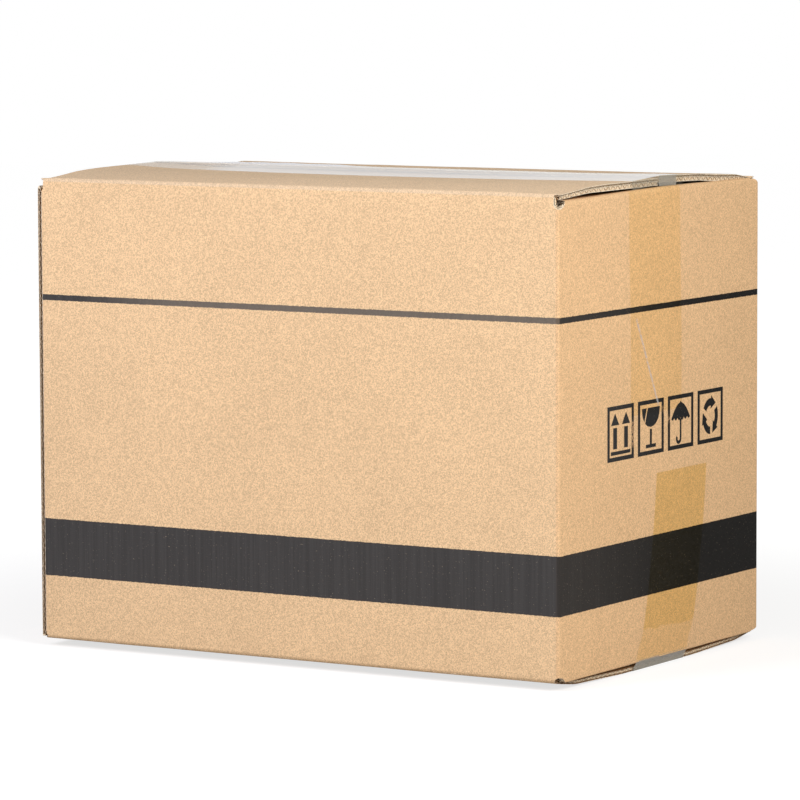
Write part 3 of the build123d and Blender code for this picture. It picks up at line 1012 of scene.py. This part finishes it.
def ink_material():
    """The print's ink, for the marks."""
    material, tree, shader, where = new_material("printing ink")
    paper, grain = paper_colour(tree, where, srgb(224, 182, 138))
    x, y, z = axes(tree, where)
    worn = greatest(tree, *[scratch(tree, y, z, *place, 0.0008) for place in worn_places])
    patchy = ramp(tree, speckle(tree, stretched(tree, where, (1, 1, 0.5)), 900, 2), 0.42, 0.58, 0.0, 0.9)
    worn = times(tree, worn, patchy, calculate(tree, "GREATER_THAN", x, 0.0))
    colour = mix(tree, worn, ink_colour(tree, where, paper), paper)
    surface(tree, shader, colour, ramp(tree, grain, 0.9, 1.1, 0.7, 0.6), 0.04)
    add_bump(tree, shader, grain, 0.0001, 0.6)
    return material


ink = ink_material()
for side, way in (("right", 1), ("left", -1)):
    parts = []
    for shape in shapes:
        across, height = shape[..., 0], shape[..., 1]
        proud = np.full(across.shape, way * (length / 2 + ink_proud))
        points = np.stack([proud, way * across, height], -1).reshape(-1, 3)
        quads = grid_quads(*shape.shape[:2])
        # The first face shows which way the ribbon looks. An arrowhead doesn't tell, and isn't turned
        first = points[quads[0]]
        if np.cross(first[1] - first[0], first[2] - first[1])[0] * way < 0:
            quads = quads[:, ::-1]
        parts.append((points, quads, np.zeros(len(quads), bool)))
    marks = piece_from(f"{side}_handling_marks", parts, [ink])
    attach(marks, "carton")
    print(side, "marks", len(marks.data.polygons), "faces")

# %% [markdown]
# ## Clear tape
# Packing tape is a clear, glossy film. Looked at squarely it hardly shows, apart from the darker paper
# under it and a few scuffs, and along its surface it mirrors the bright room. A glass shader would bend
# light for nothing in a film this thin, so a Principled surface is mixed with a Transparent one, and the
# share of gloss grows with Fresnel, with haze, and along scratches.

# %% The film's material
def film_material():
    """Clear film: Transparent and a glossy Principled, mixed by Fresnel, haze, wrinkles and scratches."""
    material, tree, shader, where = new_material("clear tape")
    x, y, z = axes(tree, where)
    side = calculate(tree, "ABSOLUTE", x)
    # Clear where it is looked at squarely, glossy where it is looked along
    gloss = ramp(tree, node(tree, "Fresnel", [("IOR", 1.46)]), 0.14, 0.55, 0.0, 0.80)
    streak = speckle(tree, stretched(tree, where, (1, 1, 0.08)), 500, 3, 0.7)
    haze = ramp(tree, streak, 0.66, 0.72, 0.0, 0.05)
    # Its left end was rubbed down harder on the front flap, and mirrors less
    rubbed = times(tree, ramp(tree, x, -0.150, -0.105, 0.45, 0.0), ramp(tree, y, 0.0, 0.001, 1.0, 0.0))
    gloss = times(tree, gloss, calculate(tree, "SUBTRACT", 1.0, rubbed))
    # One long scratch runs down the right end's upper leg
    line = scratch(tree, y, z, (-0.0338, 0.2245), (-0.0050, 0.1680), 0.0005, 0.0011)
    broken = ramp(tree, speckle(tree, where, 300, 2), 0.30, 0.60, 0.16, 0.42)
    marks = times(tree, line, broken, ramp(tree, x, 0.1960, 0.1962))
    # Film that hangs free over a gap is crinkled and matt, and is painted dark: partly its crinkle, partly
    # painted shade of the gap behind it
    hanging = times(tree, between(tree, side, 0.19368, 0.1952, 0.00001), ramp(tree, z, 0.2995, 0.3000))
    over_gap = ramp(tree, y, -0.001, 0.001, 0.30, 0.70)
    over_gap = times(tree, hanging, over_gap, ramp(tree, y, 0.022, 0.024, 1.0, 0.15))
    low_film = times(tree, ramp(tree, z, 0.0060, 0.0072, 1.0, 0.0), ramp(tree, side, 0.1935, 0.1938))
    crinkle = speckle(tree, where, 1200, 3, 0.65)
    free = times(tree, greatest(tree, over_gap, times(tree, low_film, 0.72)),
                 ramp(tree, crinkle, 0.3, 0.6, 0.72, 1.1))
    share = calculate(tree, "ADD", calculate(tree, "ADD", gloss, haze), marks, clamp=True)
    # A ray leaves the film through its back face, which adds nothing more
    geometry = tree.nodes.new("ShaderNodeNewGeometry")
    facing = calculate(tree, "SUBTRACT", 1.0, geometry.outputs["Backfacing"])
    share = times(tree, greatest(tree, share, free), facing)
    # Its colour is partly painted shade of the dark gap behind the film
    crinkled_and_shaded = mix(tree, crinkle, (0.30, 0.27, 0.215, 1), (0.47, 0.43, 0.34, 1))
    # Painted reflection: over the blister the film's colour is painted bluish white, for the highlights on
    # its wrinkles
    blister_place = times(tree, between(tree, x, -0.150, -0.040, 0.012), ramp(tree, y, 0.0, 0.001))
    plain = mix(tree, blister_place, (0.80, 0.80, 0.79, 1), (0.74, 0.79, 0.94, 1))
    is_free = calculate(tree, "GREATER_THAN", free, 0.05)
    tree.links.new(mix(tree, is_free, plain, crinkled_and_shaded), shader.inputs["Base Color"])
    shader.inputs["Roughness"].default_value = 0.16
    shader.inputs["Specular IOR Level"].default_value = 0.6
    add_bump(tree, shader, speckle(tree, where, 130, 3), 0.0006, 0.25)
    clear = tree.nodes.new("ShaderNodeBsdfTransparent")
    clear.inputs["Color"].default_value = (0.995, 0.99, 0.975, 1)
    to_surface(tree, share, clear.outputs[0], shader.outputs[0])
    return material


clear_film = film_material()
print("film nodes", len(clear_film.node_tree.nodes))

# %% [markdown]
# ## The top tape
# One strip was pulled along the seam and pressed down. It is made as slit along the seam, so each half
# lies on its own flap. It bridges the step between the two flap edges, folds down over the flap ends, and
# in one place it never touched the board and stands up in a wrinkled blister. The film follows the flap's
# own surface, with a height above it that is a function of place.

# %% Top tape halves
end_drops = {"front": 5.6, "back": 6.6}
drop_steps, flat_steps, highest_film = 10, 181, 313.38


def seam_height(x):
    """Height of the flap edges at the seam: the higher of the two."""
    heights = []
    for side, u in (("front", x), ("back", -x)):
        end = np.full(x.shape, folds[side].along[-1])
        heights.append(lay(side, u, end, 0 * x, True)[..., 2])
    return np.maximum(*heights)


def blister(x, y):
    """Height of the loose film above the board: a long low mound with wrinkles along and across it."""
    mound = np.exp(-((x + 98) / 50) ** 4) * np.exp(-((y - 20) / 15) ** 4)
    wrinkles = 0.26 * noise(x, y, seed=8, size=26, octaves=3) + 0.14 * noise(x * 0.3, y, seed=9, size=7)
    return mound * (0.85 + wrinkles) + 0.03 + 0.02 * noise(x, y, seed=12, size=30)


def top_film(side, width_on_flap):
    """One half of the top tape: rows lead from its free edge to the seam, columns from end to end."""
    fold = folds[side]
    way = 1 if side == "front" else -1
    edge = width / 2 - width_on_flap
    inward = np.linspace(edge, width / 2 - 0.05, 41)
    on_flap = fold.along > fold.mitres[1]
    q = np.interp(inward, fold.inward[on_flap], fold.along[on_flap])
    half = side_flap_half + 0.12
    fall = np.concatenate([np.linspace(end_drops[side], 0.3, drop_steps - 1), [0.0]])
    flat = np.linspace(-half + 0.3, half - 0.3, flat_steps)
    u = np.concatenate([np.full(drop_steps, -half), flat, np.full(drop_steps, half)])
    drop = np.concatenate([fall, np.zeros(flat_steps), fall[::-1]])
    q, u = np.broadcast_arrays(q[:, None], u[None, :])
    base = lay(side, u, q, 0 * u, True)
    x, y = base[..., 0], way * (inward - width / 2)[:, None] + 0 * u
    # Up to the flap's tip the film rises to the height of the seam, and the blister lifts it off the board
    lead = np.clip((inward - edge) / (reach - edge), 0, 1) ** 1.2
    rise = np.maximum(seam_height(x) - base[..., 2], 0) * lead[:, None]
    lift = blister(x, y) * (np.abs(u) < half - 0.5)
    base[..., 1] = y
    base[..., 2] = np.minimum(base[..., 2] + lift + rise + gap, highest_film) - drop
    ripple = 0.09 * noise(y, drop + 0 * y, seed=21, size=9) * smooth(drop, 0.5, 4.0)
    outwards = np.sign(base[..., 0])
    base[..., 0] += outwards * (np.maximum(ripple, -0.05) + 0.05) * (drop > 0)
    top = base.copy()
    over = drop[None, :] > 0
    top[..., 2] += np.where(over, 0.0, film)
    top[..., 0] += np.where(over, outwards * film, 0.0)
    return sheet_arrays(top, base)


for side, on_flap in (("front", front_reach), ("back", back_reach)):
    film_piece = piece_from(f"top_tape_{side}_film", [top_film(side, on_flap)], [clear_film, clear_film])
    sharpen_rims(film_piece, 50)
    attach(film_piece, f"{side}_top_flap")
    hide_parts(f"top_tape_{side}_half")
    tall = max(v.co.z for v in film_piece.data.vertices)
    print(side, "film top", round(tall * 1000, 2), "mm")

# %% [markdown]
# ## The legs of the tape
# At each end the tape turns down the wall. Its end was torn off on a toothed blade, so it ends in small
# even teeth. The upper leg drifts a little forwards near the fold. The lower leg leans, because the strip
# was pulled on askew, and it spans the gap between the bottom flap and the wall.

# %% Tape legs
def toothed(across, pitch=1.9, deep=1.2):
    """A saw line: 0 at the tips, deep between them."""
    return deep * np.abs((across / pitch) % 1 - 0.5) * 2


def film_on_wall(side, u, height):
    """Film just off a wall's outer face, and its inner side: two grids of points for rows of heights."""
    q = place_at(side, height)
    return [lay(side, u, q, -out) for out in (gap + film, gap)]


across = np.linspace(-tape_width / 2, tape_width / 2, 141)
teeth = toothed(across)
for side, middle in (("right", -7.6), ("left", 7.6)):
    rows = np.concatenate([np.linspace(163, 296, 34), np.linspace(297, 303.4, 14)])[:, None]
    rows = rows + teeth[None, :] * (rows < 163.1)
    middles = middle + np.sign(middle) * 2.2 * smooth(rows, 200, 290)
    part = sheet_arrays(*film_on_wall(side, middles + across[None, :], rows))
    leg = piece_from(f"{side}_tape_leg_film", [part], [clear_film, clear_film])
    sharpen_rims(leg, 50)
    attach(leg, "carton")
    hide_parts(f"{side}_tape_leg")
print("upper legs", round(tape_width, 1), "mm wide")

# %% Bottom tape, one strip under the bottom and up both ends
# Where the film spans the gap under the wall: its height, and how far in it is
gap_height = np.array([0.1, 1.5, 3.0, 4.4, 5.6])[:, None]
gap_inward = np.array([2.6, 2.35, 1.8, 1.05, 0.3])[:, None]
lean_heights, lean_shifts = 1000 * np.array(lean_points).T
parts = []
for side, way in (("right", 1), ("left", -1)):
    rows = np.linspace(7.0, 125, 40)[:, None]
    rows = rows - teeth[None, :] * (rows > 124.9)
    lean = np.interp(rows, lean_heights, lean_shifts) * (way > 0)
    walls = film_on_wall(side, lean + across[None, :], rows)
    layers = []
    for wall, out in zip(walls, (gap + film, gap)):
        x = way * (length / 2 - gap_inward + out) + 0 * across[None, :]
        y = way * across[None, :] + 0 * gap_height
        below = np.stack([x, y, gap_height + 0 * across[None, :]], -1)
        layers.append(np.concatenate([below, wall]))
    parts.append(sheet_arrays(*layers))
x, y = np.meshgrid(np.linspace(-193.1, 193.1, 9), across, indexing="ij")
parts.append(sheet_arrays(*[np.stack([x, y, np.full(x.shape, height)], -1) for height in (0.0, 0.09)]))
bottom_film = piece_from("bottom_tape_film", parts, [clear_film, clear_film])
sharpen_rims(bottom_film, 50)
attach(bottom_film, "carton")
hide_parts("bottom_tape")
print("bottom tape", len(bottom_film.data.polygons), "faces")

# %% [markdown]
# ## Floor, light and camera
# The floor is a wide pale sheet. To the camera and to gloss it looks white, by a little light of its own in
# Light Path's camera ray, but it sends plain diffuse light to the carton and still takes the carton's
# shadow. The world is a soft white room. A large lamp stands in front, and a warmer one to the right.

# %% Floor
def seen_rays(tree):
    """1 for a ray from the camera, from a mirroring surface or through a clear one."""
    path = tree.nodes.new("ShaderNodeLightPath")
    return greatest(tree, *[path.outputs[f"Is {kind} Ray"] for kind in ("Camera", "Glossy", "Transmission")])


def floor_material():
    """Pale floor: diffuse, and for camera, glossy and transmission rays with added light up to white."""
    material, tree, shader, where = new_material("pale floor")
    tree.nodes.remove(shader)
    plain = node(tree, "BsdfDiffuse", [("Color", (0.43, 0.43, 0.43, 1))])
    # Less light of its own close to the carton, where the shadow lies, so the floor round it is painted a
    # little grey too: a soft painted shade
    away = tree.nodes.new("ShaderNodeVectorMath")
    away.operation = "LENGTH"
    tree.links.new(where, away.inputs[0])
    glow = node(tree, "Emission", [("Strength", ramp(tree, away.outputs["Value"], 0.22, 0.75, 0.70, 0.88))])
    both = node(tree, "AddShader", [(0, plain), (1, glow)])
    to_surface(tree, seen_rays(tree), plain, both)
    return material


ring, arm = np.meshgrid(np.linspace(0, 2 * math.pi, 65), np.linspace(0, 6000, 13), indexing="ij")
disc = np.stack([arm * np.cos(ring), arm * np.sin(ring), 0 * arm], -1).reshape(-1, 3)
flat_quads = grid_quads(65, 13)[:, ::-1]
floor = piece_from("floor", [(disc, flat_quads, np.zeros(len(flat_quads), bool))], [floor_material()])
print("floor", len(floor.data.polygons), "faces")

# %% World and lamps
world = bpy.data.worlds.new("soft room")
bpy.context.scene.world = world
world.use_nodes = True
tree = world.node_tree
room = tree.nodes["Background"]
room.inputs["Color"].default_value = (1.0, 1.0, 1.0, 1)
room.inputs["Strength"].default_value = 0.27
white = node(tree, "Background", [("Color", (1, 1, 1, 1)), ("Strength", 1.0)])
to_surface(tree, seen_rays(tree), room.outputs[0], white, "World Output")


def soft_lamp(name, place, aim, size, watts, colour):
    """A square area lamp at a place, facing an aim."""
    lamp = bpy.data.lights.new(name, "AREA")
    lamp.size = size
    lamp.energy = watts
    lamp.color = colour
    holder = bpy.data.objects.new(name, lamp)
    bpy.context.scene.collection.objects.link(holder)
    holder.location = place
    holder.rotation_euler = (Vector(aim) - Vector(place)).to_track_quat("-Z", "Y").to_euler()
    return holder


carton_middle, lamp_size = (0, 0, 0.24), 0.6
lamps = [soft_lamp("front lamp", (-0.35, -1.05, 0.76), carton_middle, lamp_size, 7.8, (1.0, 0.99, 1.08)),
         soft_lamp("right lamp", (1.05, -0.50, 0.74), carton_middle, lamp_size, 10.0, (1.0, 0.985, 0.95))]
print("lamps", [f"{lamp.name} {round(lamp.data.energy, 1)} W" for lamp in lamps])

# %% [markdown]
# The camera's place, lens and turn were solved from the corners of the carton in the photograph, so it
# stands a little above the carton, off its front right corner, far away with a long lens.

# %% Camera
azimuth, elevation, tilt = math.radians(31.61), math.radians(5.79), math.radians(-0.236)
level = math.cos(elevation)
back = Vector((math.sin(azimuth) * level, -math.cos(azimuth) * level, math.sin(elevation)))
right = (-back).cross(Vector((0, 0, 1))).normalized()
up = right.cross(-back)
turned_right = right * math.cos(tilt) + up * math.sin(tilt)
turned_up = up * math.cos(tilt) - right * math.sin(tilt)
lens = bpy.data.cameras.new("camera")
lens.sensor_width = 36
lens.lens = 221.2
lens.clip_end = 30
camera = bpy.data.objects.new("camera", lens)
camera.matrix_world = Matrix.Translation((1.68755, -2.7414, 0.4871)) @ Matrix(
    (turned_right, turned_up, back)).transposed().to_4x4()
bpy.context.scene.collection.objects.link(camera)
bpy.context.scene.camera = camera
bpy.context.scene.view_settings.view_transform = "Standard"
print("camera", [round(v, 3) for v in camera.matrix_world.translation])

# %% [markdown]
# ## Every CAD node is dressed
# Each node is replaced by a detailed piece. This cell proves it: it counts the nodes that still show, and
# gives any of them paper.

# %% Check the nodes
for name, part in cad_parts.items():
    if not part.hide_render:
        part.data.materials.clear()
        part.data.materials.append(inner_liner_paper)
        print("still a CAD node:", name)
